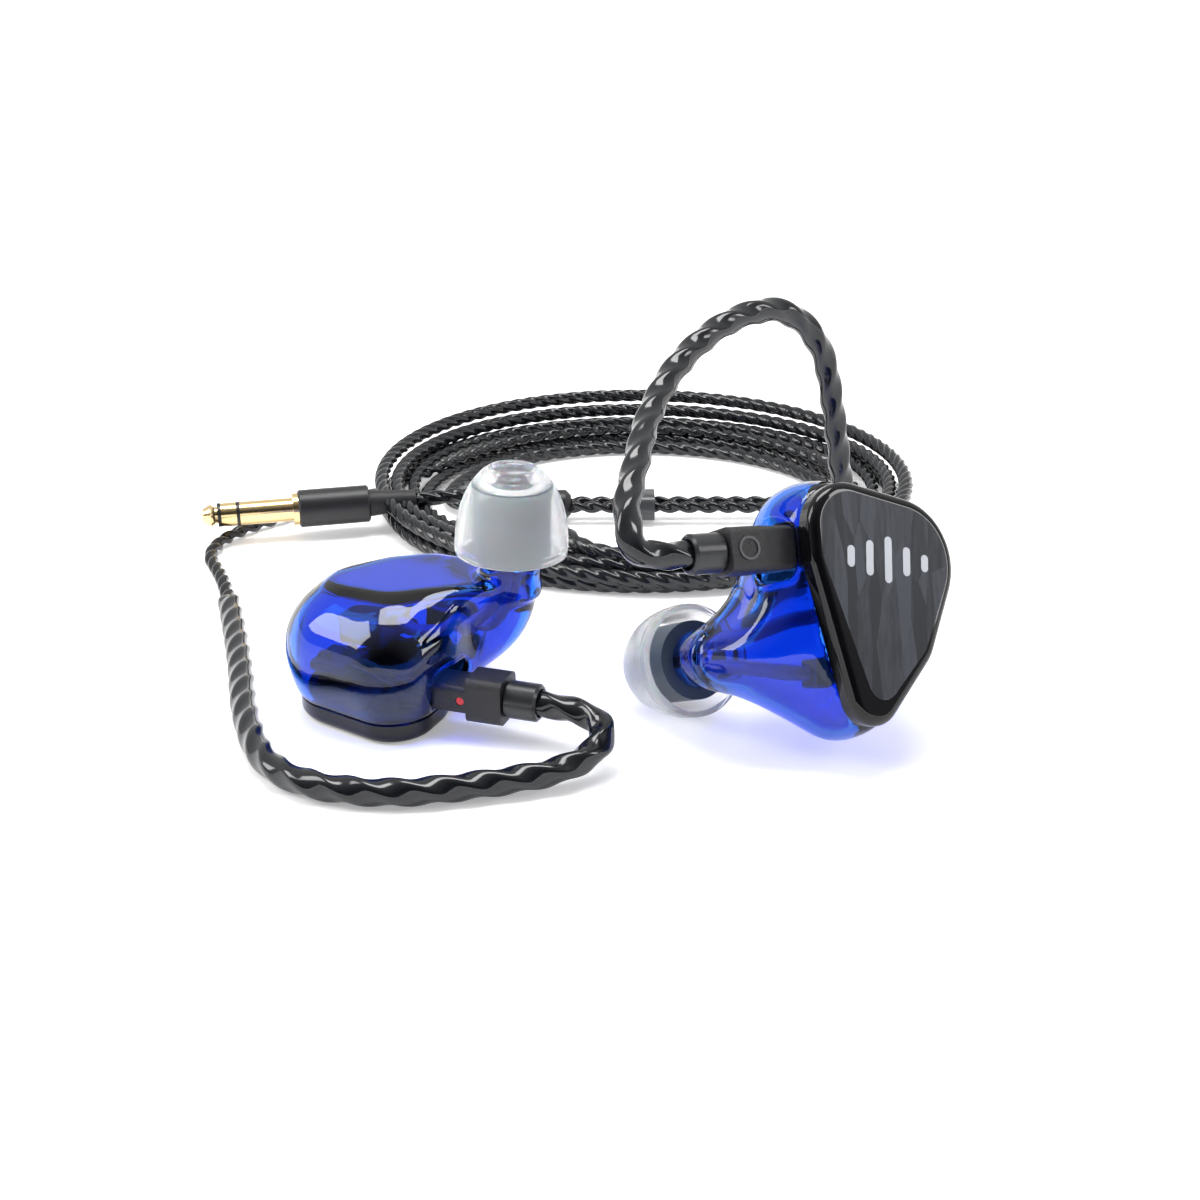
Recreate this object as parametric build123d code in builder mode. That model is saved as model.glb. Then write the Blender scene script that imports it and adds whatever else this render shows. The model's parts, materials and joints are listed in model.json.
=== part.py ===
"""A pair of in-ear monitors on a detachable twisted cable with a 3.5 mm plug.

Each monitor is made once in its own frame: the middle of the faceplate's outer face is the
origin, +Y runs to the wide end, +Z points out of the faceplate, and the wearer's nose is at +X
on the right-ear monitor (hand 1) and at -X on the left-ear one (hand -1). The finished pieces
are then moved to where the monitor lies. Millimetres throughout. The world origin is on the
surface that both monitors rest on, under the middle of their common box.
"""

from build123d import *
import os
from math import cos, pi, radians, sin, tan

os.makedirs("parts", exist_ok=True)

# Where the two monitors lie: middle of the faceplate, and the turns that set its plane
right_centre = (-23.87, 5.31, 0.0)
right_heading = 26.4
left_centre = (28.23, -10.19, 16.1)
left_yaw = 29.3
left_lean = 26.5
left_roll = 14.8

# Monitor body
lobes = [((4.6, 8.2), 4.7), ((4.4, 5.6), 4.7), ((1.5, -8.6), 3.1), ((-1.0, -1.8), 5.3),
         ((-1.6, 5.0), 7.0)]
inlay_lobes = [((4.6, 8.2), 4.7), ((4.4, 5.6), 4.7), ((0.8, -7.2), 3.0), ((-1.2, -1.8), 5.0),
               ((-1.6, 5.0), 7.0)]
plate_thick = 2.2
plate_edge_round = 1.0
inlay_margin = 1.1
inlay_thick = 0.6
emblem_up = 5.2
wall = 1.0
# Levels of the shell: height, growth of the outline, spread, and the lobe that leads to the
# nozzle, as its place to the nose, its place up and its radius
shell_levels = [
    (-2.22, 0.0, 1.00, (4.0, -2.5, 3.2)),
    (-4.2, 0.8, 1.00, (6.2, -3.4, 4.2)),
    (-6.4, 1.2, 1.00, (8.0, -3.9, 4.6)),
    (-9.0, 1.2, 0.98, (9.8, -4.1, 4.4)),
    (-12.2, -0.2, 0.92, (11.3, -4.2, 3.9)),
    (-14.2, -2.0, 0.78, (12.0, -4.2, 3.6)),
    (-15.0, -2.6, 0.60, (12.3, -4.2, 3.4)),
]
inner_levels = [(level, grow - wall, spread, (nose, up, radius - wall))
                for level, grow, spread, (nose, up, radius) in shell_levels[:-2]]
inner_levels.append((-14.0, -2.8, 0.80, (12.0, -4.2, 2.6)))

# Nozzle: the rim of the ear tip is its reference plane
tip_rim_centre = (12.6, -4.2, -17.6)
nozzle_tilt = 2.5
stem_radius = 3.3
stem_root_radius = 3.6
stem_length = 4.6
stem_end = -0.5
spigot_radius = 2.6
spigot_end = 6.2
ridge_radius = 2.75
sound_bore_radius = 0.85
sound_bore_offset = 1.05

# Ear tip
tip_radius = 6.3
tip_height = 9.6
tip_hole_radius = 2.0
core_bore_radius = 2.8
core_radius = 4.3
core_top = 7.6

# Two-pin connection
socket_nose = 9.6
socket_up = 6.2
socket_inward = 4.65
connector_dip = 8.2
socket_width = 3.1
socket_height = 4.4
socket_depth = 4.4
pin_pitch = 1.78
pin_radius = 0.38
pin_reach = 3.4
contact_radius = 0.5
neck_length = 3.6
block_length = 4.0
collar_length = 3.7
collar_radius = 2.05
collar_recess = 1.2
seat_gap = 0.05

# Cords
guide_diameter = 3.0
branch_diameter = 1.9
main_diameter = 2.3
coil_centre = (5.9, 76.4)
coil_radius = 45.0
coil_width = 20.0
coil_height = 9.0
coil_round = 3.4

# Plug
plug_face = (-46.1, 58.4, 4.5)
plug_heading = 15.0
barrel_radius = 2.8
barrel_length = 10.5
relief_length = 7.0
jack_radius = 1.75


def tidy_write(builder, name, plane=Plane.XY):
    """Moves a finished piece to its plane, labels it and writes its STEP."""
    piece = builder.part.moved(plane.location)
    piece.label = name
    export_step(piece, f"parts/{name}.step")
    return piece


def outline(hand, level, grow=0.0, spread=1.0, canal=None, places=lobes):
    """The rounded triangle of a monitor at one height: a hull of circles."""
    with BuildSketch(Plane.XY.offset(level)) as section:
        for (x, y), radius in places:
            with Locations((hand * x * spread, y * spread)):
                Circle(radius + grow)
        if canal:
            with Locations((hand * canal[0], canal[1])):
                Circle(canal[2])
        make_hull()
    return section.sketch


def nozzle_plane(hand, distance):
    """A plane square to the nozzle's axis, at a distance past the ear tip's rim."""
    axis = Vector(hand * sin(radians(nozzle_tilt)), 0, -cos(radians(nozzle_tilt)))
    rim = Vector(hand * tip_rim_centre[0], tip_rim_centre[1], tip_rim_centre[2])
    return Plane(origin=rim + axis * distance, x_dir=(0, 1, 0), z_dir=axis)


def connector_plane(hand, distance):
    """A plane square to the pins, at a distance out of the socket's face; its X is the
    faceplate's normal."""
    axis = Vector(hand * cos(radians(connector_dip)), -sin(radians(connector_dip)), 0)
    face = Vector(hand * socket_nose, socket_up, -socket_inward)
    return Plane(origin=face + axis * distance, x_dir=(0, 0, 1), z_dir=axis)


def disc(plane, radius):
    """A round section on a plane."""
    with BuildSketch(plane) as section:
        Circle(radius)
    return section.sketch


def straight_cylinder(plane, radius, length, mode=Mode.ADD):
    """A cylinder that starts on a plane and runs along its normal."""
    extrude(disc(plane, radius), amount=length, mode=mode)


def rounded_block(plane, width, height, corner, length, mode=Mode.ADD):
    """A bar of rounded-rectangle section that starts on a plane."""
    with BuildSketch(plane) as section:
        RectangleRounded(width, height, corner)
    extrude(section.sketch, amount=length, mode=mode)


def pin_pair(plane, radius, length, mode=Mode.ADD):
    """Two cylinders at the pins' pitch that start on a plane."""
    with BuildSketch(plane) as section:
        with GridLocations(1, pin_pitch, 1, 2):
            Circle(radius)
    extrude(section.sketch, amount=length, mode=mode)


def bend_radii(route):
    """The largest arc that each corner's shorter run allows."""
    radii = []
    for before, corner, after in zip(route, route[1:], route[2:]):
        run_in = Vector(*corner) - Vector(*before)
        run_out = Vector(*after) - Vector(*corner)
        half_turn = radians(run_in.get_angle(run_out)) / 2
        radii.append(0.45 * min(run_in.length, run_out.length) / tan(half_turn))
    return radii


def round_tube(route, diameter, bore=0.0):
    """A tube along straight runs joined by tangent arcs, inside the current part."""
    with BuildLine() as path:
        FilletPolyline(*route, radius=bend_radii(route))
    start = Plane(origin=route[0], z_dir=Vector(*route[1]) - Vector(*route[0]))
    with BuildSketch(start) as section:
        Circle(diameter / 2)
        if bore:
            Circle(bore / 2, mode=Mode.SUBTRACT)
    sweep(section.sketch, path=path.wires()[0])
    return path.wires()[0].length


def cord(name, route, diameter):
    """A plain cord solid, with a check of its arcs and its volume."""
    with BuildPart() as tube:
        length = round_tube(route, diameter)
    section = pi * diameter**2 / 4
    arcs = " ".join(f"{radius:.1f}" for radius in bend_radii(route))
    ratio = tube.part.volume / (section * length)
    print(f"{name}: {length:.1f} mm, volume ratio {ratio:.3f}, radii {arcs}")
    tidy_write(tube, name)


def along(start, direction, distance):
    """The point at a distance from start in a direction, as a tuple."""
    point = start + direction * distance
    return (point.X, point.Y, point.Z)


def onward(route, distance):
    """The point at a distance past a route's end, straight on."""
    last, before = Vector(*route[-1]), Vector(*route[-2])
    return along(last, (last - before).normalized(), distance)


# --- Monitor: casing -----------------------------------------------------------------------


def make_shell(side, hand, seat):
    """Hollow body with its nozzle, the spigot for the ear tip and the socket's boss."""
    with BuildPart() as shell:
        loft([outline(hand, *section) for section in shell_levels])
        loft([disc(nozzle_plane(hand, stem_end - stem_length), stem_root_radius),
              disc(nozzle_plane(hand, stem_end - stem_length * 0.4), stem_radius)])
        straight_cylinder(nozzle_plane(hand, stem_end - stem_length * 0.4), stem_radius,
                          stem_length * 0.4)
        rounded_block(connector_plane(hand, -3.5), 3.2, 5.4, 1.2, 3.5)
        loft([outline(hand, *section) for section in inner_levels], mode=Mode.SUBTRACT)
        straight_cylinder(nozzle_plane(hand, stem_end - stem_length - 1.0), stem_radius - 0.9,
                          stem_length, mode=Mode.SUBTRACT)
        straight_cylinder(nozzle_plane(hand, stem_end), spigot_radius, spigot_end - stem_end)
        straight_cylinder(nozzle_plane(hand, spigot_end - 1.2), ridge_radius, 0.7)
        for offset in (-sound_bore_offset, sound_bore_offset):
            bore = nozzle_plane(hand, stem_end - 2.0)
            bore = bore.shift_origin(bore.origin + bore.x_dir * offset)
            straight_cylinder(bore, sound_bore_radius, 10.0, mode=Mode.SUBTRACT)
        rounded_block(connector_plane(hand, -6.0), socket_width + 0.1, socket_height + 0.1, 0.6,
                      6.5, mode=Mode.SUBTRACT)
        rounded_block(connector_plane(hand, 0.0), 5.6, 6.4, 1.4, 8.0, mode=Mode.SUBTRACT)
    tidy_write(shell, f"{side}_shell", seat)


def make_faceplate(side, hand, seat):
    """Black cover with rounded edges, a locating lip and a recess for the inlay."""
    with BuildPart() as plate:
        extrude(outline(hand, -plate_thick), amount=plate_thick)
        fillet(plate.faces().sort_by(Axis.Z)[-1].edges(), radius=plate_edge_round)
        extrude(outline(hand, -plate_thick - 0.9, grow=-wall - 0.3), amount=0.9)
        extrude(outline(hand, -plate_thick - 0.9, grow=-wall - 1.2), amount=1.6,
                mode=Mode.SUBTRACT)
        extrude(outline(hand, -inlay_thick, grow=-inlay_margin, places=inlay_lobes),
                amount=inlay_thick + 1.0, mode=Mode.SUBTRACT)
        rounded_block(connector_plane(hand, -8.0), socket_width + 0.6, socket_height + 0.8, 0.6,
                      8.0, mode=Mode.SUBTRACT)
    tidy_write(plate, f"{side}_faceplate", seat)


def bar_places():
    """The five level bars of the emblem: place across, and length."""
    lengths = (2.2, 3.6, 4.8, 3.0, 1.8)
    return [((index - 2) * 2.3, length) for index, length in enumerate(lengths)]


def make_inlay(side, hand, seat):
    """Thin patterned panel that fills the faceplate's recess, flush with its face."""
    with BuildPart() as inlay:
        extrude(outline(hand, -inlay_thick, grow=-inlay_margin - 0.03, places=inlay_lobes),
                amount=inlay_thick)
        with BuildSketch(Plane.XY.offset(-0.3)):
            for across, length in bar_places():
                with Locations((across, emblem_up)):
                    SlotOverall(length + 0.04, 0.94, rotation=90)
        extrude(amount=1.0, mode=Mode.SUBTRACT)
    tidy_write(inlay, f"{side}_inlay", seat)


def make_emblem(side, seat):
    """Five rounded metal level bars set flush in the inlay."""
    with BuildPart() as emblem:
        with BuildSketch(Plane.XY.offset(-0.3)):
            for across, length in bar_places():
                with Locations((across, emblem_up)):
                    SlotOverall(length, 0.9, rotation=90)
        extrude(amount=0.3)
    tidy_write(emblem, f"{side}_emblem", seat)


# --- Monitor: what it holds ----------------------------------------------------------------

low_size = (5.6, 8.2, 3.6)
low_place = (-2.6, 0.0, -7.6)
high_size = (4.4, 3.0, 2.8)
high_place = (3.0, -6.2, -7.0)
board_size = (4.4, 4.0, 0.8)
board_place = (-2.4, 8.0, -6.2)
tube_diameter = 1.6
tube_bore = 1.0


def make_driver(name, hand, seat, size, place):
    """Balanced-armature driver: a folded metal can with a spout towards the nose."""
    middle = (hand * place[0], place[1], place[2])
    with BuildPart() as driver:
        with Locations(middle):
            Box(*size)
        fillet(driver.edges(), radius=0.35)
        spout = Plane(origin=(middle[0] + hand * (size[0] / 2 - 0.2), middle[1], middle[2]),
                      z_dir=(hand, 0, 0))
        straight_cylinder(spout, tube_bore / 2 - 0.03, 1.3)
    tidy_write(driver, name, seat)


def make_tubes(side, hand, seat):
    """The two sound tubes from the drivers' spouts to the face of the spigot."""
    ends = {"low": (low_size, low_place, sound_bore_offset, 5.4),
            "high": (high_size, high_place, -sound_bore_offset, 3.0)}
    for name, (size, place, offset, lead) in ends.items():
        entry = nozzle_plane(hand, stem_end - 4.8)
        entry = entry.shift_origin(entry.origin + entry.x_dir * offset)
        outlet = nozzle_plane(hand, spigot_end - 0.1)
        outlet = outlet.shift_origin(outlet.origin + outlet.x_dir * offset)
        start_x = hand * (place[0] + size[0] / 2 + 0.15)
        route = [(start_x, place[1], place[2]),
                 (start_x + hand * lead, place[1], place[2]),
                 (entry.origin.X, entry.origin.Y, entry.origin.Z),
                 (outlet.origin.X, outlet.origin.Y, outlet.origin.Z)]
        with BuildPart() as tube:
            round_tube(route, tube_diameter, bore=tube_bore)
        tidy_write(tube, f"{side}_{name}_tube", seat)
    mouth = nozzle_plane(hand, spigot_end - 2.4)
    mouth = mouth.shift_origin(mouth.origin + mouth.x_dir * sound_bore_offset)
    with BuildPart() as damper:
        straight_cylinder(mouth, tube_bore / 2 - 0.03, 1.6)
    tidy_write(damper, f"{side}_damper", seat)


def make_socket(side, hand, seat):
    """Two-hole socket flush in the shell's boss, with its tubular contacts."""
    with BuildPart() as socket:
        rounded_block(connector_plane(hand, -socket_depth), socket_width, socket_height, 0.55,
                      socket_depth)
        pin_pair(connector_plane(hand, -socket_depth), contact_radius + 0.02, socket_depth,
                 mode=Mode.SUBTRACT)
    tidy_write(socket, f"{side}_socket", seat)
    with BuildPart() as contacts:
        pin_pair(connector_plane(hand, -socket_depth - 0.5), contact_radius,
                 socket_depth + 0.45)
        pin_pair(connector_plane(hand, -pin_reach - 0.4), pin_radius + 0.03, pin_reach + 1.0,
                 mode=Mode.SUBTRACT)
    tidy_write(contacts, f"{side}_socket_contacts", seat)


def make_board(side, hand, seat):
    """Crossover board with its parts, and the enamelled wires to socket and drivers."""
    place = (hand * board_place[0], board_place[1], board_place[2])
    with BuildPart() as board:
        with Locations(place):
            Box(*board_size)
        for across, up, size in ((-1.1, 0.8, (1.2, 0.8, 0.6)), (0.9, -0.8, (1.0, 1.3, 0.8))):
            with Locations((place[0] + across, place[1] + up, place[2] - board_size[2] / 2)):
                Box(*size, align=(Align.CENTER, Align.CENTER, Align.MAX))
    tidy_write(board, f"{side}_crossover_board", seat)
    with BuildPart() as wires:
        for lift in (-pin_pitch / 2, pin_pitch / 2):
            plane = connector_plane(hand, -socket_depth - 0.52)
            tail = plane.origin + plane.y_dir * hand * lift
            edge = place[0] + hand * (board_size[0] / 2 + 0.02)
            route = [(tail.X, tail.Y, tail.Z),
                     (tail.X - hand * 0.8, tail.Y + 0.1, tail.Z),
                     (edge + hand * 0.8, place[1] - lift, place[2] + 0.05),
                     (edge, place[1] - lift, place[2])]
            round_tube(route, 0.32)
    tidy_write(wires, f"{side}_wires", seat)


# --- Ear tip -------------------------------------------------------------------------------


def revolved(hand, points_and_arcs):
    """Turns a half-profile, given as radius and height past the rim, about the nozzle."""
    rim = nozzle_plane(hand, 0.0)
    profile_plane = Plane(origin=rim.origin, x_dir=rim.x_dir, z_dir=rim.z_dir.cross(rim.x_dir))
    flip = 1 if (profile_plane.y_dir - rim.z_dir).length < 0.01 else -1
    with BuildSketch(profile_plane) as section:
        with BuildLine():
            for stretch in points_and_arcs:
                places = [(radius, flip * height) for radius, height in stretch]
                if len(places) == 3:
                    ThreePointArc(*places)
                else:
                    Line(*places)
        make_face()
    revolve(section.sketch, axis=Axis(rim.origin, rim.z_dir))


def make_tip(side, hand, seat):
    """Silicone dome round a firmer core that grips the spigot."""
    with BuildPart() as dome:
        revolved(hand, [
            ((tip_radius - 0.15, 0.0), (tip_radius, 1.8), (tip_radius - 0.35, 3.8)),
            ((tip_radius - 0.35, 3.8), (tip_radius - 1.4, 7.2), (3.2, tip_height - 0.4)),
            ((3.2, tip_height - 0.4), (2.6, tip_height), (tip_hole_radius, tip_height - 0.4)),
            ((tip_hole_radius, tip_height - 0.4), (tip_hole_radius, core_top)),
            ((tip_hole_radius, core_top), (core_radius + 0.1, core_top)),
            ((core_radius + 0.1, core_top), (5.2, 5.0), (tip_radius - 0.9, 2.4)),
            ((tip_radius - 0.9, 2.4), (tip_radius - 0.75, 0.0)),
            ((tip_radius - 0.75, 0.0), (tip_radius - 0.15, 0.0)),
        ])
    tidy_write(dome, f"{side}_tip_dome", seat)
    with BuildPart() as core:
        straight_cylinder(nozzle_plane(hand, -0.3), core_radius, core_top + 0.3)
        straight_cylinder(nozzle_plane(hand, -0.3), core_bore_radius, core_top + 0.3,
                          mode=Mode.SUBTRACT)
    tidy_write(core, f"{side}_tip_core", seat)


# --- Cable-side connector ------------------------------------------------------------------


def make_connector(side, hand, seat):
    """Moulded housing on two pins, with the collar that the ear guide leaves."""
    block_start = seat_gap + neck_length
    collar_start = block_start + block_length
    with BuildPart() as housing:
        rounded_block(connector_plane(hand, seat_gap), 3.1, 4.6, 0.6, neck_length)
        rounded_block(connector_plane(hand, block_start), 5.0, 4.6, 0.9, block_length)
        pin_pair(connector_plane(hand, seat_gap), pin_radius + 0.02, 2.0, mode=Mode.SUBTRACT)
        if hand > 0:
            dot = connector_plane(hand, block_start - 0.6)
            dot = Plane(origin=dot.origin - dot.y_dir * 2.0, z_dir=-dot.y_dir)
            straight_cylinder(dot, 0.47, 0.5, mode=Mode.SUBTRACT)
    tidy_write(housing, f"{side}_connector_housing", seat)
    with BuildPart() as collar:
        straight_cylinder(connector_plane(hand, collar_start), collar_radius, collar_length)
        chamfer(collar.edges().filter_by(GeomType.CIRCLE), length=0.25)
        straight_cylinder(connector_plane(hand, collar_start + collar_length - collar_recess),
                          guide_diameter / 2 + 0.08, collar_recess, mode=Mode.SUBTRACT)
    tidy_write(collar, f"{side}_connector_collar", seat)
    with BuildPart() as pins:
        pin_pair(connector_plane(hand, -pin_reach), pin_radius, pin_reach + seat_gap + 2.0)
    tidy_write(pins, f"{side}_connector_pins", seat)
    with BuildPart() as mark:
        if hand > 0:
            dot = connector_plane(hand, block_start - 0.6)
            dot = Plane(origin=dot.origin - dot.y_dir * 2.0, z_dir=-dot.y_dir)
            straight_cylinder(dot, 0.45, 0.22)
        else:
            ring = connector_plane(hand, block_start + block_length / 2)
            ring = Plane(origin=ring.origin + ring.x_dir * 2.5, z_dir=ring.x_dir)
            straight_cylinder(ring, 1.2, 0.12)
            straight_cylinder(ring, 0.95, 0.12, mode=Mode.SUBTRACT)
    tidy_write(mark, f"{side}_channel_mark", seat)
    root = seat.from_local_coords(connector_plane(hand, collar_start + collar_length
                                                  - collar_recess).origin)
    ahead = seat.from_local_coords(connector_plane(hand, collar_start + collar_length + 5).origin)
    return root, (ahead - root).normalized()


# --- The two monitors ----------------------------------------------------------------------

heading = radians(right_heading)
right_seat = Plane(origin=right_centre, x_dir=(cos(heading), -sin(heading), 0),
                   z_dir=(0, 0, -1))
yaw = radians(left_yaw)
lean = radians(left_lean)
roll = radians(left_roll)
left_level = Vector(cos(yaw), sin(yaw), 0)
left_rise = Vector(-sin(yaw) * sin(lean), cos(yaw) * sin(lean), cos(lean))
left_seat = Plane(origin=left_centre, x_dir=left_level * cos(roll) - left_rise * sin(roll),
                  z_dir=(sin(yaw) * cos(lean), -cos(yaw) * cos(lean), sin(lean)))

cord_starts = {}
for side, hand, seat in (("right", 1, right_seat), ("left", -1, left_seat)):
    make_shell(side, hand, seat)
    make_faceplate(side, hand, seat)
    make_inlay(side, hand, seat)
    make_emblem(side, seat)
    make_driver(f"{side}_low_driver", hand, seat, low_size, low_place)
    make_driver(f"{side}_high_driver", hand, seat, high_size, high_place)
    make_tubes(side, hand, seat)
    make_socket(side, hand, seat)
    make_board(side, hand, seat)
    make_tip(side, hand, seat)
    cord_starts[side] = make_connector(side, hand, seat)
    pull = seat.from_local_coords(nozzle_plane(hand, 1.0).origin) - seat.from_local_coords(
        nozzle_plane(hand, 0.0).origin)
    slide = seat.from_local_coords(connector_plane(hand, -1.0).origin) - seat.from_local_coords(
        connector_plane(hand, 0.0).origin)
    rim = seat.from_local_coords(nozzle_plane(hand, 0.0).origin)
    print(f"{side}: nozzle axis {pull}, rim {rim}, unplug axis {slide}, "
          f"guide starts {cord_starts[side][0]} along {cord_starts[side][1]}")

# --- Cords: plain solids along their routes ------------------------------------------------

guide_reach = 4.0
branch_reach = 5.0
right_start, right_ahead = cord_starts["right"]
right_guide_route = [
    (right_start.X, right_start.Y, right_start.Z),
    along(right_start, right_ahead, guide_reach),
    (-0.7, -10.9, 4.0),
    (-0.7, -14.3, 2.9),
    (-4.2, -17.7, 2.0),
    (-11.2, -19.7, 1.6),
    (-22.7, -22.2, 1.55),
    (-33.7, -18.3, 1.55),
    (-39.4, -5.9, 1.55),
    (-43.8, 11.1, 1.55),
    (-49.3, 28.1, 1.55),
]
right_branch_route = [
    right_guide_route[-1],
    onward(right_guide_route, branch_reach),
    (-53.7, 40.3, 1.2),
    (-57.3, 47.7, 1.0),
    (-56.7, 55.7, 1.0),
    (-52.1, 63.1, 1.0),
    (-45.5, 69.3, 1.1),
    (-37.8, 73.8, 1.6),
]
left_start, left_ahead = cord_starts["left"]
left_guide_route = [
    (left_start.X, left_start.Y, left_start.Z),
    along(left_start, left_ahead, guide_reach),
    (2.2, -14.4, 23.8),
    (1.4, -10.8, 26.9),
    (2.8, -4.0, 30.1),
    (4.1, 3.9, 32.8),
    (7.7, 12.0, 36.9),
    (13.6, 18.2, 40.3),
    (20.5, 23.3, 40.9),
    (25.8, 26.3, 35.8),
    (27.9, 28.2, 26.9),
    (29.6, 29.8, 18.2),
    (31.3, 31.7, 9.6),
]
left_branch_route = [
    left_guide_route[-1],
    onward(left_guide_route, branch_reach),
    (33.9, 34.9, 1.6),
    (37.5, 39.3, 1.0),
    (39.9, 44.1, 1.2),
    (40.0, 48.4, 1.6),
]
cord("right_ear_guide", right_guide_route, guide_diameter)
cord("right_branch_cable", right_branch_route, branch_diameter)
cord("left_ear_guide", left_guide_route, guide_diameter)
cord("left_branch_cable", left_branch_route, branch_diameter)

# --- The joint of the cords, inside the coil's ring ----------------------------------------

join_across = 66.0
join_height = 2.7
split_start = -14.5
split_length = 9.0
split_radius = 2.3
neck_spacing = 2.5
neck_end = 30.0
lead_end = -18.6
slider_start = 1.6
slider_length = 5.8


def join_plane(along_x):
    """A plane square to the straight stretch that joins the cords, facing +X."""
    return Plane(origin=(along_x, join_across, join_height), x_dir=(0, 1, 0), z_dir=(1, 0, 0))


with BuildPart() as y_split:
    straight_cylinder(join_plane(split_start), split_radius, split_length)
    chamfer(y_split.edges().filter_by(GeomType.CIRCLE), length=0.8)
tidy_write(y_split, "y_split")

for name, offset in (("left_neck_cable", -neck_spacing / 2), ("right_neck_cable",
                                                            neck_spacing / 2)):
    with BuildPart() as neck:
        plane = join_plane(split_start + split_length)
        straight_cylinder(plane.shift_origin(plane.origin + plane.x_dir * offset),
                          branch_diameter / 2, neck_end - split_start - split_length)
    tidy_write(neck, name)

with BuildPart() as main_lead:
    straight_cylinder(join_plane(lead_end), main_diameter / 2, split_start - lead_end)
tidy_write(main_lead, "main_cable_lead")

with BuildPart() as chin_slider:
    rounded_block(join_plane(slider_start), 6.2, 4.2, 2.0, slider_length)
    with BuildSketch(join_plane(slider_start)):
        with GridLocations(neck_spacing, 1, 2, 1):
            Circle(branch_diameter / 2 + 0.05)
    extrude(amount=slider_length, mode=Mode.SUBTRACT)
tidy_write(chin_slider, "chin_slider")

# --- Plug ----------------------------------------------------------------------------------


plug_axis = Vector(-cos(radians(plug_heading)), -sin(radians(plug_heading)), 0)


def plug_plane(distance):
    """A plane square to the plug, at a distance from the barrel's face towards its tip."""
    return Plane(origin=Vector(*plug_face) + plug_axis * distance, z_dir=plug_axis)


def turned(name, profile):
    """A turned piece of the plug from its half-profile of radius and distance."""
    plane = Plane(origin=plug_face, x_dir=(0, 0, 1), z_dir=Vector(0, 0, 1).cross(plug_axis))
    with BuildPart() as piece:
        with BuildSketch(plane):
            with BuildLine():
                Polyline(*profile, close=True)
            make_face()
        revolve(axis=Axis(plug_face, plug_axis))
    tidy_write(piece, name)


sleeve_length = 8.5
turned("jack_tip", [(0, -3.0), (0.5, -3.0), (0.5, 11.7), (1.25, 11.7), (1.25, 12.1),
                    (jack_radius - 0.05, 12.7), (1.1, 13.7), (0.6, 14.0), (0, 14.0)])
turned("jack_tip_insulator", [(0.52, -2.5), (0.78, -2.5), (0.78, 11.2), (jack_radius, 11.2),
                              (jack_radius, 11.7), (0.52, 11.7)])
turned("jack_ring", [(0.80, -2.0), (1.08, -2.0), (1.08, 9.0), (jack_radius, 9.0),
                     (jack_radius, 11.2), (0.80, 11.2)])
turned("jack_ring_insulator", [(1.10, -1.5), (1.34, -1.5), (1.34, sleeve_length),
                               (jack_radius, sleeve_length), (jack_radius, 9.0),
                               (1.10, 9.0)])
turned("jack_sleeve", [(1.36, -1.0), (2.4, -1.0), (2.4, 0.8), (jack_radius, 0.8),
                       (jack_radius, sleeve_length), (1.36, sleeve_length)])
turned("plug_barrel", [(2.42, 0), (2.42, -1.0), (2.0, -1.0), (2.0, -barrel_length + 1.0),
                       (1.3, -barrel_length + 1.0), (1.3, -barrel_length),
                       (barrel_radius - 0.25, -barrel_length),
                       (barrel_radius, -barrel_length + 0.25), (barrel_radius, -0.25),
                       (barrel_radius - 0.25, 0)])
relief_end = -barrel_length - relief_length
turned("plug_strain_relief", [(0, -barrel_length), (2.0, -barrel_length), (1.5, relief_end),
                              (0, relief_end)])

# --- Coil: one closed solid of the wound cable's outer shape -------------------------------

with BuildPart() as coil:
    with BuildSketch(Plane.XZ):
        with Locations((coil_radius - coil_width / 2, coil_height / 2)):
            RectangleRounded(coil_width, coil_height, coil_round)
    revolve(axis=Axis.Z)


def cut_seat(solid, plane, radius, length):
    """Cuts the seat that a round end fills, from outside down to the plane of that end."""
    tool = Solid.make_cylinder(radius, length, plane)
    return solid - tool


coil_piece = coil.part.moved(Location((coil_centre[0], coil_centre[1], 0)))
seats = [
    (plug_plane(-barrel_length), barrel_radius + 0.05, 20.0),
    (plug_plane(relief_end), 2.1, 20.0),
    (join_plane(lead_end), main_diameter / 2 + 0.02, 8.0),
]
for offset in (-neck_spacing / 2, neck_spacing / 2):
    end = join_plane(neck_end)
    end = Plane(origin=end.origin + end.x_dir * offset, z_dir=(-1, 0, 0))
    seats.append((end, branch_diameter / 2 + 0.02, 8.0))
for route in (right_branch_route, left_branch_route):
    last, before = Vector(*route[-1]), Vector(*route[-2])
    seats.append((Plane(origin=last, z_dir=before - last), branch_diameter / 2 + 0.02, 6.0))
for plane, radius, length in seats:
    coil_piece = cut_seat(coil_piece, plane, radius, length)
coil_piece.label = "cable_coil"
export_step(coil_piece, "parts/cable_coil.step")
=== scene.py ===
"""In-ear monitors with clear blue shells, frosted ear tips and a coiled, detachable cable."""
import json
from math import cos, exp, pi, radians, sin, sqrt

import bpy
from mathutils import Matrix, Vector


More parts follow.
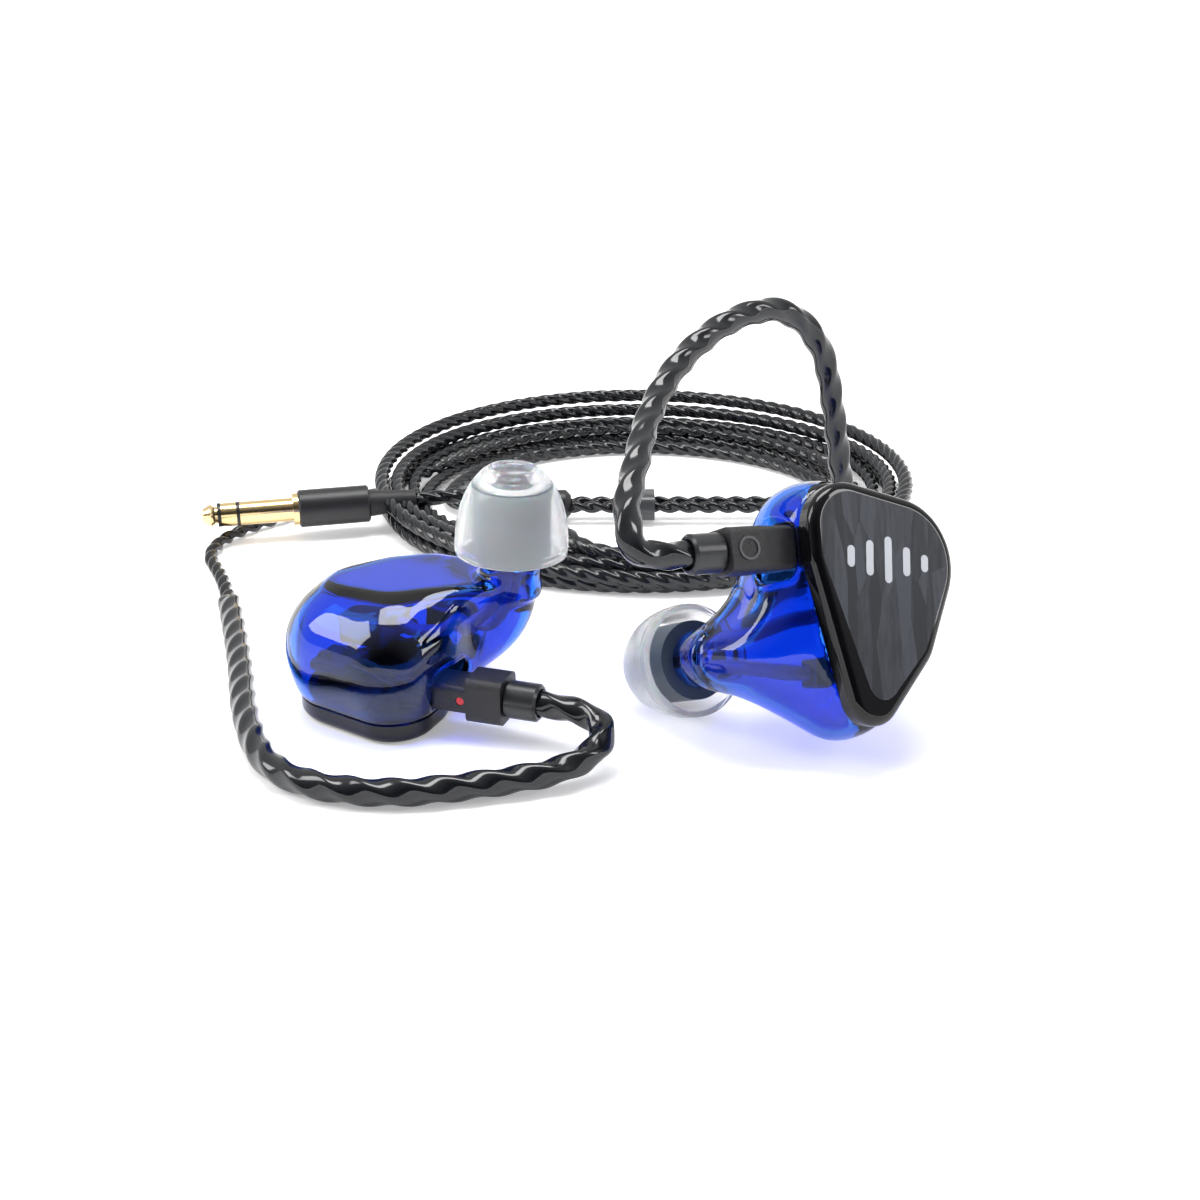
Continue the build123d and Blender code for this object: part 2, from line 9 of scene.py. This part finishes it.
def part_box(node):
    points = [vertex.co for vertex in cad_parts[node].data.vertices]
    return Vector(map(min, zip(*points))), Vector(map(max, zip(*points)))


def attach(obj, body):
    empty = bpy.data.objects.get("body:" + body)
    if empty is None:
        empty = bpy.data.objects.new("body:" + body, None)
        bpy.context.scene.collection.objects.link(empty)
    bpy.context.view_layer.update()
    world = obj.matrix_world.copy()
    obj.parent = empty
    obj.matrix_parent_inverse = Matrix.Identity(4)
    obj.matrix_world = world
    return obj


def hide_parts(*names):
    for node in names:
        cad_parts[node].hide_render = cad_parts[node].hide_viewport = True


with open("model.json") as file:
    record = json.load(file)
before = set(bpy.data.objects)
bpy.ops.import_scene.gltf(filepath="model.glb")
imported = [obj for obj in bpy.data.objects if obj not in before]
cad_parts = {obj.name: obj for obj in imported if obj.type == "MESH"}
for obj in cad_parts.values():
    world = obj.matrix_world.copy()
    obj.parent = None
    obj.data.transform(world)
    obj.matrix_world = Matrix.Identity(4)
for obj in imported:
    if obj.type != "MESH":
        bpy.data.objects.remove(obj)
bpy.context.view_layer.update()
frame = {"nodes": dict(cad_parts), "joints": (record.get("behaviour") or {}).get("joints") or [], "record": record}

nodes = frame["nodes"]
MM = 0.001
SIDES = ("right", "left")
joints = {joint["name"]: joint for joint in frame["joints"]}
mounts = {mount["name"]: mount for mount in frame["record"]["mounts"]}

# --- Camera and light ----------------------------------------------------------------------

scene = bpy.context.scene
camera_data = bpy.data.cameras.new("camera")
camera_data.lens = 42.0
camera_data.sensor_width = 36.0
camera_data.clip_start = 0.01
camera = bpy.data.objects.new("camera", camera_data)
camera.location = (-0.0010, -0.1411, 0.0696)
camera.rotation_euler = (radians(68.2), 0, 0)
scene.collection.objects.link(camera)
scene.camera = camera
scene.view_settings.view_transform = "Standard"

# The surroundings are bright behind the object and dark in front of it
world = bpy.data.worlds.new("studio")
world.use_nodes = True
studio = world.node_tree
sky_place = studio.nodes.new("ShaderNodeTexCoord")
sky_axes = studio.nodes.new("ShaderNodeSeparateXYZ")
sky_ramp = studio.nodes.new("ShaderNodeValToRGB")
sky_shift = studio.nodes.new("ShaderNodeMath")
sky_shift.operation = "MULTIPLY_ADD"
sky_shift.inputs[1].default_value = 0.5
sky_shift.inputs[2].default_value = 0.5
sky_ramp.color_ramp.elements[0].position = 0.10
sky_ramp.color_ramp.elements[0].color = (0.04, 0.04, 0.045, 1)
sky_ramp.color_ramp.elements[1].position = 0.62
sky_ramp.color_ramp.elements[1].color = (1, 1, 1, 1)
studio.links.new(sky_place.outputs["Generated"], sky_axes.inputs["Vector"])
studio.links.new(sky_axes.outputs["Y"], sky_shift.inputs[0])
studio.links.new(sky_shift.outputs["Value"], sky_ramp.inputs["Fac"])
studio.links.new(sky_ramp.outputs["Color"], studio.nodes["Background"].inputs["Color"])
studio.nodes["Background"].inputs["Strength"].default_value = 0.78
scene.world = world


def softbox(name, place, target, width, height, power):
    """A soft rectangular light that faces a point."""
    light = bpy.data.lights.new(name, "AREA")
    light.shape = "RECTANGLE"
    light.size = width
    light.size_y = height
    light.energy = power
    lamp = bpy.data.objects.new(name, light)
    lamp.location = place
    lamp.rotation_euler = (Vector(target) - Vector(place)).to_track_quat("-Z", "Y").to_euler()
    scene.collection.objects.link(lamp)


softbox("softbox_left", (-0.30, -0.02, 0.26), (0, 0, 0.01), 0.14, 0.22, 0.8)
softbox("softbox_right", (0.34, -0.10, 0.22), (0, 0, 0.01), 0.06, 0.20, 0.35)
softbox("softbox_top", (0.0, 0.06, 0.42), (0, 0.02, 0), 0.28, 0.14, 1.3)

# --- Materials -----------------------------------------------------------------------------


def plain(name, colour, roughness=0.4, **sockets):
    """A material of the principled shader alone, its sockets given by their names."""
    material = bpy.data.materials.new(name)
    material.use_nodes = True
    shader = material.node_tree.nodes["Principled BSDF"]
    shader.inputs["Base Color"].default_value = (*colour, 1.0)
    shader.inputs["Roughness"].default_value = roughness
    for socket, value in sockets.items():
        shader.inputs[socket.replace("_", " ")].default_value = value
    return material


def grained(material, scale, depth, detail=3.0):
    """Adds a fine grain of bump to a material."""
    tree = material.node_tree
    place = tree.nodes.new("ShaderNodeTexCoord")
    noise = tree.nodes.new("ShaderNodeTexNoise")
    noise.inputs["Scale"].default_value = scale
    noise.inputs["Detail"].default_value = detail
    bump = tree.nodes.new("ShaderNodeBump")
    bump.inputs["Strength"].default_value = 1.0
    bump.inputs["Distance"].default_value = depth
    tree.links.new(place.outputs["Object"], noise.inputs["Vector"])
    tree.links.new(noise.outputs["Fac"], bump.inputs["Height"])
    tree.links.new(bump.outputs["Normal"], tree.nodes["Principled BSDF"].inputs["Normal"])
    return material


def lets_light_through(material, tint):
    """Lets a clear material's shadow take its tint, as light that has passed through it."""
    tree = material.node_tree
    shader = tree.nodes["Principled BSDF"]
    output = tree.nodes["Material Output"]
    path = tree.nodes.new("ShaderNodeLightPath")
    clear = tree.nodes.new("ShaderNodeBsdfTransparent")
    clear.inputs["Color"].default_value = (*tint, 1.0)
    mix = tree.nodes.new("ShaderNodeMixShader")
    tree.links.new(path.outputs["Is Shadow Ray"], mix.inputs["Fac"])
    tree.links.new(shader.outputs["BSDF"], mix.inputs[1])
    tree.links.new(clear.outputs["BSDF"], mix.inputs[2])
    tree.links.new(mix.outputs["Shader"], output.inputs["Surface"])
    return material


# The connector's dip, and where a tip's open rim is along a monitor's own axes, in mm
connector_dip = radians(8.2)
tip_height = 9.6
rim_place = (12.6, -4.2, -17.6)


def monitor_axes(side):
    """A monitor's own axes from its joints: towards the nose, up its length, out of its face."""
    hand = 1 if side == "right" else -1
    out = -Vector(joints[f"{side}_unplug"]["axis"])
    pull = Vector(joints[f"{side}_tip_pull"]["axis"])
    across = hand * out.cross(pull).normalized()
    nose = out * cos(connector_dip) + across * sin(connector_dip)
    rise = across * cos(connector_dip) - out * sin(connector_dip)
    return nose, rise, hand * nose.cross(rise)


def tip_rim(side):
    """The middle of an ear tip's open rim, and the axis that it is pulled along."""
    pull = Vector(joints[f"{side}_tip_pull"]["axis"])
    return Vector(mounts[f"{side}_ear_canal"]["pos_m"]) - pull * tip_height * MM, pull


def monitor_middle(side):
    """The middle of a monitor's faceplate."""
    offset = sum((axis * place for axis, place in zip(monitor_axes(side), rim_place)), Vector())
    return tip_rim(side)[0] - offset * MM


def shard_material(name, side):
    """Grey streaks and shards that run along the faceplate, under a satin surface."""
    material = plain(name, (0.1, 0.1, 0.12), 0.42, Specular_IOR_Level=0.3)
    tree = material.node_tree
    nose, rise, face = monitor_axes(side)
    turn = Matrix((nose, rise, face)).to_4x4()
    place = tree.nodes.new("ShaderNodeTexCoord")
    mapping = tree.nodes.new("ShaderNodeMapping")
    mapping.inputs["Rotation"].default_value = turn.to_euler()
    stretch = tree.nodes.new("ShaderNodeMapping")
    stretch.inputs["Scale"].default_value = (1.0, 0.14, 1.0)
    noise = tree.nodes.new("ShaderNodeTexNoise")
    noise.inputs["Scale"].default_value = 2300.0
    noise.inputs["Detail"].default_value = 4.0
    noise.inputs["Distortion"].default_value = 0.6
    shards = tree.nodes.new("ShaderNodeTexVoronoi")
    shards.inputs["Scale"].default_value = 760.0
    shards.inputs["Randomness"].default_value = 1.0
    mix = tree.nodes.new("ShaderNodeMix")
    mix.data_type = "FLOAT"
    mix.inputs["Factor"].default_value = 0.55
    ramp = tree.nodes.new("ShaderNodeValToRGB")
    ramp.color_ramp.elements[0].position = 0.34
    ramp.color_ramp.elements[0].color = (0.006, 0.007, 0.011, 1)
    ramp.color_ramp.elements[1].position = 0.66
    ramp.color_ramp.elements[1].color = (0.036, 0.040, 0.054, 1)
    tree.links.new(place.outputs["Object"], mapping.inputs["Vector"])
    tree.links.new(mapping.outputs["Vector"], stretch.inputs["Vector"])
    tree.links.new(stretch.outputs["Vector"], noise.inputs["Vector"])
    tree.links.new(stretch.outputs["Vector"], shards.inputs["Vector"])
    tree.links.new(noise.outputs["Fac"], mix.inputs["A"])
    tree.links.new(shards.outputs["Color"], mix.inputs["B"])
    tree.links.new(mix.outputs["Result"], ramp.inputs["Fac"])
    tree.links.new(ramp.outputs["Color"], tree.nodes["Principled BSDF"].inputs["Base Color"])
    return material


shell_blue = lets_light_through(
    plain("shell_blue", (0.022, 0.155, 0.70), 0.012, Transmission_Weight=1.0, IOR=1.48),
    (0.13, 0.34, 1.0))
plate_black = plain("plate_black", (0.002, 0.002, 0.003), 0.05, Specular_IOR_Level=0.38)
emblem_silver = plain("emblem_silver", (0.33, 0.34, 0.37), 0.42, Metallic=1.0)
driver_case = plain("driver_case", (0.16, 0.17, 0.20), 0.30, Metallic=1.0)
sound_tube = plain("sound_tube", (0.55, 0.62, 0.75), 0.2, Transmission_Weight=0.6, IOR=1.4)
damper_metal = plain("damper_metal", (0.6, 0.6, 0.62), 0.35, Metallic=1.0)
board_dark = plain("board_dark", (0.01, 0.03, 0.05), 0.4)
wire_enamel = plain("wire_enamel", (0.50, 0.22, 0.10), 0.3, Metallic=1.0)
contact_gold = plain("contact_gold", (0.93, 0.70, 0.36), 0.18, Metallic=1.0)
connector_black = grained(plain("connector_black", (0.012, 0.012, 0.014), 0.42), 7000.0, 0.00009)
collar_black = plain("collar_black", (0.018, 0.019, 0.021), 0.30)
tip_silicone = lets_light_through(
    plain("tip_silicone", (0.985, 0.99, 1.0), 0.20, Transmission_Weight=0.86, IOR=1.2,
          Subsurface_Weight=0.4, Subsurface_Scale=0.002),
    (0.92, 0.93, 0.95))
tip_core = plain("tip_core", (0.03, 0.045, 0.065), 0.5)
mark_red = plain("mark_red", (0.75, 0.012, 0.03), 0.25)
mark_black = plain("mark_black", (0.045, 0.046, 0.05), 0.35)
guide_skin = plain("guide_skin", (0.006, 0.007, 0.009), 0.13, Specular_IOR_Level=0.55)
cable_cover = plain("cable_cover", (0.009, 0.010, 0.012), 0.17, Specular_IOR_Level=0.5)
fitting_black = grained(plain("fitting_black", (0.012, 0.012, 0.014), 0.38), 5000.0, 0.00002)
insulator_black = plain("insulator_black", (0.01, 0.01, 0.01), 0.35)
relief_black = plain("relief_black", (0.014, 0.014, 0.016), 0.5)
slider_grey = plain("slider_grey", (0.05, 0.052, 0.056), 0.25)


def dress(node, material):
    """Gives a CAD node its material."""
    piece = nodes[node]
    piece.data.materials.clear()
    piece.data.materials.append(material)


for side in SIDES:
    dress(f"{side}_faceplate", plate_black)
    dress(f"{side}_inlay", shard_material(f"{side}_inlay_grey", side))
    dress(f"{side}_emblem", emblem_silver)
    for node in ("low_driver", "high_driver"):
        dress(f"{side}_{node}", driver_case)
    for node in ("low_tube", "high_tube"):
        dress(f"{side}_{node}", sound_tube)
    dress(f"{side}_damper", damper_metal)
    dress(f"{side}_socket", connector_black)
    dress(f"{side}_socket_contacts", contact_gold)
    dress(f"{side}_crossover_board", board_dark)
    dress(f"{side}_wires", wire_enamel)
    dress(f"{side}_connector_housing", connector_black)
    dress(f"{side}_connector_collar", collar_black)
    dress(f"{side}_connector_pins", contact_gold)
dress("right_channel_mark", mark_red)
dress("left_channel_mark", mark_black)
for node in ("jack_tip", "jack_ring", "jack_sleeve"):
    dress(node, contact_gold)
for node in ("jack_tip_insulator", "jack_ring_insulator"):
    dress(node, insulator_black)
dress("plug_barrel", fitting_black)
dress("plug_strain_relief", relief_black)
dress("y_split", fitting_black)
dress("chin_slider", slider_grey)

# --- Floor and walls -----------------------------------------------------------------------

reach = 3.0
floor_gap = 0.00002
wall_base = -0.1
wall_height = 0.6
corners = [(-reach, -reach), (reach, -reach), (reach, reach), (-reach, reach)]
floor_mesh = bpy.data.meshes.new("floor")
floor_mesh.from_pydata([(*corner, 0) for corner in corners], [], [(0, 1, 2, 3)])
floor = bpy.data.objects.new("floor", floor_mesh)
floor.location.z = -floor_gap
# The floor glows less near the object, so that its shadow and its blue light show there
floor_white = plain("floor_white", (0.94, 0.94, 0.945), 0.5, Emission_Color=(1, 1, 1, 1))
sweep = floor_white.node_tree
sweep_place = sweep.nodes.new("ShaderNodeTexCoord")
sweep_length = sweep.nodes.new("ShaderNodeVectorMath")
sweep_length.operation = "LENGTH"
sweep_range = sweep.nodes.new("ShaderNodeMapRange")
for socket, value in (("From Min", 0.12), ("From Max", 0.55), ("To Min", 0.32), ("To Max", 0.64)):
    sweep_range.inputs[socket].default_value = value
sweep.links.new(sweep_place.outputs["Object"], sweep_length.inputs[0])
sweep.links.new(sweep_length.outputs["Value"], sweep_range.inputs["Value"])
sweep.links.new(sweep_range.outputs["Result"],
                sweep.nodes["Principled BSDF"].inputs["Emission Strength"])
floor_mesh.materials.append(floor_white)
scene.collection.objects.link(floor)

backdrop_mesh = bpy.data.meshes.new("backdrop")
backdrop_mesh.from_pydata([(*corner, wall_base) for corner in corners]
                          + [(*corner, wall_height) for corner in corners],
                          [], [(i, (i + 1) % 4, 4 + (i + 1) % 4, 4 + i) for i in range(4)])
backdrop_mesh.materials.append(plain("backdrop_white", (0.9, 0.9, 0.9), 0.6, Emission_Strength=0.8,
                                     Emission_Color=(1, 1, 1, 1)))
backdrop = bpy.data.objects.new("backdrop", backdrop_mesh)
scene.collection.objects.link(backdrop)

# --- Mesh helpers --------------------------------------------------------------------------


def mesh_piece(name, points, faces, material, slot, body, *stands_for):
    """A smooth-shaded mesh that rides on a body and stands for CAD nodes."""
    mesh = bpy.data.meshes.new(name)
    mesh.from_pydata([tuple(p) for p in points], [], faces)
    mesh.materials.append(material)
    mesh.update()
    for polygon in mesh.polygons:
        polygon.use_smooth = True
    piece = bpy.data.objects.new(name, mesh)
    scene.collection.objects.link(piece)
    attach(piece, body)
    if stands_for:
        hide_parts(*stands_for)
    return piece


def lathe(profile, origin, axis, segments=128):
    """Points and faces of a closed profile of (radius, distance) in mm, turned round an axis."""
    turn = Vector((0, 0, 1)).rotation_difference(axis).to_matrix()
    points, faces = [], []
    count = len(profile)
    for step in range(segments):
        angle = 2 * pi * step / segments
        for radius, distance in profile:
            local = Vector((radius * cos(angle), radius * sin(angle), distance)) * MM
            points.append(origin + turn @ local)
        ahead = (step + 1) % segments
        for index in range(count):
            after = (index + 1) % count
            faces.append((step * count + index, ahead * count + index,
                          ahead * count + after, step * count + after))
    return points, faces


def rounded(corners, pieces=5):
    """A smooth closed outline through quadratic arcs: (start, control, end) for each."""
    outline = []
    for start, control, end in corners:
        for step in range(pieces):
            t = step / pieces
            outline.append(tuple((1 - t)**2 * a + 2 * t * (1 - t) * b + t * t * c
                                 for a, b, c in zip(start, control, end)))
    return outline


# --- Cords ---------------------------------------------------------------------------------


def spline_points(route, spacing):
    """Evenly spaced points along the NURBS spline whose control points are the route's."""
    data = bpy.data.curves.new("route", "CURVE")
    data.dimensions = "3D"
    data.resolution_u = 16
    spline = data.splines.new("NURBS")
    spline.points.add(len(route) - 1)
    for point, place in zip(spline.points, route):
        point.co = (*(c * MM for c in place), 1.0)
    spline.order_u = 3
    spline.use_endpoint_u = True
    carrier = bpy.data.objects.new("route", data)
    scene.collection.objects.link(carrier)
    bpy.context.view_layer.update()
    line = bpy.data.meshes.new_from_object(carrier)
    places = [vertex.co.copy() for vertex in line.vertices]
    bpy.data.objects.remove(carrier)
    total = sum((b - a).length for a, b in zip(places, places[1:]))
    count = max(2, round(total / spacing))
    even, target, gone = [places[0]], total / count, 0.0
    for a, b in zip(places, places[1:]):
        run = (b - a).length
        while gone + run >= target * len(even) and len(even) < count:
            even.append(a.lerp(b, (target * len(even) - gone) / run))
        gone += run
    even.append(places[-1])
    return even, total


def strand_edge(angle, strands, offset, radius):
    """How far the outside of a bundle of round strands is from its middle at an angle."""
    spread = 2 * pi / strands
    off = (angle + spread / 2) % spread - spread / 2
    return offset * cos(off) + sqrt(max(0.0, radius**2 - (offset * sin(off))**2))


def twisted(route, shape, pitch, around=32, spacing=0.45):
    """Points, faces and centre line of a twisted cord; shape(angle) is its radius in mm."""
    line, length = spline_points(route, spacing * MM)
    side = (line[1] - line[0]).orthogonal().normalized()
    points, faces, gone = [], [], 0.0
    for index, centre in enumerate(line):
        ahead = (line[min(index + 1, len(line) - 1)] - line[max(index - 1, 0)]).normalized()
        side = (side - ahead * side.dot(ahead)).normalized()
        other = ahead.cross(side)
        if index:
            gone += (centre - line[index - 1]).length
        lay = 2 * pi * gone / (pitch * MM)
        for step in range(around):
            angle = 2 * pi * step / around
            reach = shape(angle - lay) * MM
            points.append(centre + (side * cos(angle) + other * sin(angle)) * reach)
        if index:
            for step in range(around):
                after = (step + 1) % around
                faces.append(((index - 1) * around + step, (index - 1) * around + after,
                              index * around + after, index * around + step))
    faces.append(tuple(reversed(range(around))))
    faces.append(tuple(range((len(line) - 1) * around, len(line) * around)))
    return points, faces, line, length


def guide_shape(angle):
    """A shrunk sleeve drawn tight over three strands."""
    return 1.34 + 0.12 * cos(3 * angle) + 0.02 * cos(6 * angle)


def pair_shape(angle):
    """Two insulated wires laid together."""
    return strand_edge(angle, 2, 0.42, 0.53)


def quad_shape(angle):
    """Four insulated wires laid together."""
    return strand_edge(angle, 4, 0.62, 0.53)


right_ahead = -Vector(joints["right_unplug"]["axis"])
left_ahead = -Vector(joints["left_unplug"]["axis"])
# Where each guide leaves its collar, and how far each cord runs straight before it bends, in mm
right_start = Vector((-8.386, -7.682, 4.65))
left_start = Vector((8.589, -11.522, 22.628))
guide_reach = 4.0
branch_reach = 5.0


def onward(route, distance):
    """The point at a distance past a route's end, straight on."""
    last, before = Vector(route[-1]), Vector(route[-2])
    return tuple(last + (last - before).normalized() * distance)


right_guide_route = [
    tuple(right_start),
    tuple(right_start + right_ahead * guide_reach),
    (-0.7, -10.9, 4.0),
    (-0.7, -14.3, 2.9),
    (-4.2, -17.7, 2.0),
    (-11.2, -19.7, 1.6),
    (-22.7, -22.2, 1.55),
    (-33.7, -18.3, 1.55),
    (-39.4, -5.9, 1.55),
    (-43.8, 11.1, 1.55),
    (-49.3, 28.1, 1.55),
]
left_guide_route = [
    tuple(left_start),
    tuple(left_start + left_ahead * guide_reach),
    (2.2, -14.4, 23.8),
    (1.4, -10.8, 26.9),
    (2.8, -4.0, 30.1),
    (4.1, 3.9, 32.8),
    (7.7, 12.0, 36.9),
    (13.6, 18.2, 40.3),
    (20.5, 23.3, 40.9),
    (25.8, 26.3, 35.8),
    (27.9, 28.2, 26.9),
    (29.6, 29.8, 18.2),
    (31.3, 31.7, 9.6),
]

# The coil: turns about its middle, by angle in turns clockwise seen from above
coil_low, coil_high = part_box("cable_coil")
coil_middle = (coil_low + coil_high) / 2 / MM


def on_coil(angle, radius, height):
    """A point of the coil at an angle in degrees from +X."""
    turn = radians(angle)
    return (coil_middle.x + radius * cos(turn), coil_middle.y + radius * sin(turn), height)


def smooth_step(t):
    """Eases from 0 to 1."""
    t = min(1.0, max(0.0, t))
    return t * t * (3 - 2 * t)


# Where each turn of the main cable passes the front and the back: radius and height in mm
front_slots = [(35.4, 1.2), (38.0, 1.2), (40.6, 1.2), (43.4, 1.3), (42.2, 3.4), (39.6, 3.6),
               (40.8, 5.7)]
back_slots = [(28.0, 1.3), (33.0, 1.5), (43.6, 1.3), (38.5, 3.2), (42.8, 7.4), (40.5, 5.2),
              (35.0, 3.4)]
points_per_turn = 16
hop_start = 0.55


def coil_run(start, sweep, fronts, backs):
    """A coil's turns from an angle, through a signed sweep in degrees; each leads to the next."""
    count = round(abs(sweep) / 360 * points_per_turn)
    run = []
    for step in range(count + 1):
        gone = step / count * abs(sweep) / 360
        angle = start + sweep * step / count
        turn = min(int(gone), len(fronts) - 1)
        ahead = min(turn + 1, len(fronts) - 1)
        blend = smooth_step((gone - turn - hop_start) / (1 - hop_start))
        towards_back = (1 + sin(radians(angle))) / 2
        slots = []
        for slot_list in (fronts, backs):
            slots.append([a + (b - a) * blend for a, b in zip(slot_list[turn], slot_list[ahead])])
        front, back = slots
        radius, height = (f + (b - f) * towards_back for f, b in zip(front, back))
        run.append(on_coil(angle, radius, height))
    return run


lead_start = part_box("main_cable_lead")[1].x / MM
lead_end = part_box("main_cable_lead")[0].x / MM
join_low, join_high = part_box("y_split")
join_y = (join_low.y + join_high.y) / 2 / MM
join_z = (join_low.z + join_high.z) / 2 / MM
neck_gap = 1.25
jack_middle = 6.25
plug_body = 17.5
plug_ahead = Vector(mounts["jack"]["axis"])
plug_face = Vector(mounts["jack"]["pos_m"]) / MM - plug_ahead * jack_middle
relief_end = plug_face - plug_ahead * plug_body
main_start = 188
main_sweep = -(360 * 5 + 290)

main_route = [(lead_start, join_y, join_z), (lead_end, join_y, join_z)]
main_route += coil_run(main_start, main_sweep, front_slots, back_slots)
main_route += [
    on_coil(246, 33.0, 6.6),
    on_coil(232, 31.0, 6.6),
    tuple(relief_end - plug_ahead * 9.0 + Vector((0, -1.5, 0.8))),
    tuple(relief_end - plug_ahead * 4.0),
    tuple(relief_end),
]

right_branch_route = [
    right_guide_route[-1],
    onward(right_guide_route, branch_reach),
    (-53.7, 40.3, 1.2),
    (-57.3, 47.7, 1.0),
    (-56.7, 55.7, 1.0),
    (-52.1, 63.1, 1.0),
    (-45.5, 69.3, 1.1),
    (-37.8, 73.8, 1.6),
    (-31.5, 80.5, 2.6),
]
right_branch_route += coil_run(152, -142, [(34.5, 3.2)], [(33.0, 3.4)])
right_branch_route += [
    (36.5, join_y + 2.0, join_z),
    (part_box("right_neck_cable")[1].x / MM, join_y + neck_gap, join_z),
    (join_high.x / MM, join_y + neck_gap, join_z),
]
left_branch_route = [
    left_guide_route[-1],
    onward(left_guide_route, branch_reach),
    (33.9, 34.9, 1.6),
    (37.5, 39.3, 1.0),
    (39.9, 44.1, 1.2),
    (40.0, 48.4, 1.6),
]
left_branch_route += coil_run(-24, 290, [(36.5, 3.2)], [(38.6, 3.3)])
left_branch_route += [
    on_coil(283, 32.5, 1.4),
    (23.0, 48.6, 1.4),
    (31.5, 51.0, 1.6),
    (36.8, 57.5, 2.2),
    (36.0, 64.0, join_z),
    (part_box("left_neck_cable")[1].x / MM, join_y - neck_gap, join_z),
    (join_high.x / MM, join_y - neck_gap, join_z),
]

plug_pieces = [nodes[n] for n in ("jack_tip", "jack_tip_insulator", "jack_ring",
                                  "jack_ring_insulator", "jack_sleeve", "plug_barrel",
                                  "plug_strain_relief")]
# Name, route, section, pitch and diameter in mm, material, slot, CAD nodes, and how it behaves
cord_plan = [
    ("right_guide_cord", right_guide_route, guide_shape, 12.9, 3.0, guide_skin, "guide_sleeve",
     ("right_ear_guide",), "stiff", "loose", "bare", []),
    ("left_guide_cord", left_guide_route, guide_shape, 12.9, 3.0, guide_skin, "guide_sleeve",
     ("left_ear_guide",), "stiff", "loose", "bare", []),
    ("right_branch_cord", right_branch_route, pair_shape, 6.0, 1.9, cable_cover, "cable_cover",
     ("right_branch_cable", "right_neck_cable"), "limp", "coiled", "fitting", [nodes["y_split"]]),
    ("left_branch_cord", left_branch_route, pair_shape, 6.0, 1.9, cable_cover, "cable_cover",
     ("left_branch_cable", "left_neck_cable"), "limp", "coiled", "fitting",
     [nodes["chin_slider"]]),
    ("main_cord", main_route, quad_shape, 11.0, 2.3, cable_cover, "cable_cover",
     ("main_cable_lead", "cable_coil"), "limp", "coiled", "plug", plug_pieces),
]
for (name, route, shape, pitch, diameter, cover, slot, stands, stiffness, lay, end,
     on_it) in cord_plan:
    points, faces, line, length = twisted(route, shape, pitch)
    piece = mesh_piece(name, points, faces, cover, slot, "cable", *stands)
    print(f"{name}: {length * 1000:.0f} mm")

# --- Shells: the CAD shell with its seams between levels run smooth ------------------------

voxel = 0.28
smooth_passes = 20
waist_depth = 1.9
waist_middle = (1.2, -10.4)
waist_reach = (3.4, 3.6)
waist_from = 3
waist_ease = 6


def draw_in_waist(mesh, side):
    """Draws the shell in between its connector and its nozzle, where the hull runs straight."""
    nose, rise, face = monitor_axes(side)
    middle = monitor_middle(side)
    for vertex in mesh.vertices:
        local = (vertex.co - middle) / MM
        along = (local.dot(rise) - waist_middle[0]) / waist_reach[0]
        deep = (local.dot(face) - waist_middle[1]) / waist_reach[1]
        ease = smooth_step((local.dot(nose) - waist_from) / waist_ease)
        vertex.co -= nose * waist_depth * exp(-along**2 - deep**2) * ease * MM


for side in SIDES:
    source = nodes[f"{side}_shell"]
    work = bpy.data.objects.new("work", source.data.copy())
    scene.collection.objects.link(work)
    remesh = work.modifiers.new("remesh", "REMESH")
    remesh.mode = "VOXEL"
    remesh.voxel_size = voxel * MM
    smooth = work.modifiers.new("smooth", "SMOOTH")
    smooth.factor = 0.5
    smooth.iterations = smooth_passes
    bpy.context.view_layer.update()
    mesh = bpy.data.meshes.new_from_object(work.evaluated_get(
        bpy.context.evaluated_depsgraph_get()))
    bpy.data.objects.remove(work)
    mesh.name = f"{side}_shell_skin"
    draw_in_waist(mesh, side)
    mesh.materials.clear()
    mesh.materials.append(shell_blue)
    for polygon in mesh.polygons:
        polygon.use_smooth = True
    skin = bpy.data.objects.new(f"{side}_shell_skin", mesh)
    scene.collection.objects.link(skin)
    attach(skin, f"{side}_monitor")
    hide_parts(f"{side}_shell")
    print(f"{side} shell: {len(mesh.polygons)} faces")

# --- Ear tips: turned domes with stepped tops, on their CAD cores --------------------------

# A dome's section, as arcs through places in mm from its pull axis and above its rim
dome_profile = rounded([
    ((6.15, 0.0), (6.22, 0.4), (6.24, 1.1)),
    ((6.24, 1.1), (6.18, 1.15), (6.19, 1.25)),
    ((6.19, 1.25), (6.2, 2.6), (5.95, 4.0)),
    ((5.95, 4.0), (5.3, 7.0), (3.7, 8.7)),
    ((3.7, 8.7), (3.55, 8.74), (3.5, 8.92)),
    ((3.5, 8.92), (3.3, 9.16), (2.95, 9.28)),
    ((2.95, 9.28), (2.8, 9.32), (2.76, 9.5)),
    ((2.76, 9.5), (2.4, 9.75), (2.1, 9.4)),
    ((2.1, 9.4), (2.0, 9.3), (2.0, 7.6)),
    ((2.0, 7.6), (4.0, 7.7), (4.4, 7.5)),
    ((4.4, 7.5), (5.2, 5.0), (5.4, 2.4)),
    ((5.4, 2.4), (5.6, 1.0), (5.55, 0.0)),
    ((5.55, 0.0), (5.85, -0.12), (6.15, 0.0)),
])
for side in SIDES:
    rim, pull = tip_rim(side)
    points, faces = lathe(dome_profile, rim, pull)
    mesh_piece(f"{side}_tip_skin", points, faces, tip_silicone, "tip_silicone", f"{side}_tip",
               f"{side}_tip_dome")
    dress(f"{side}_tip_core", tip_core)
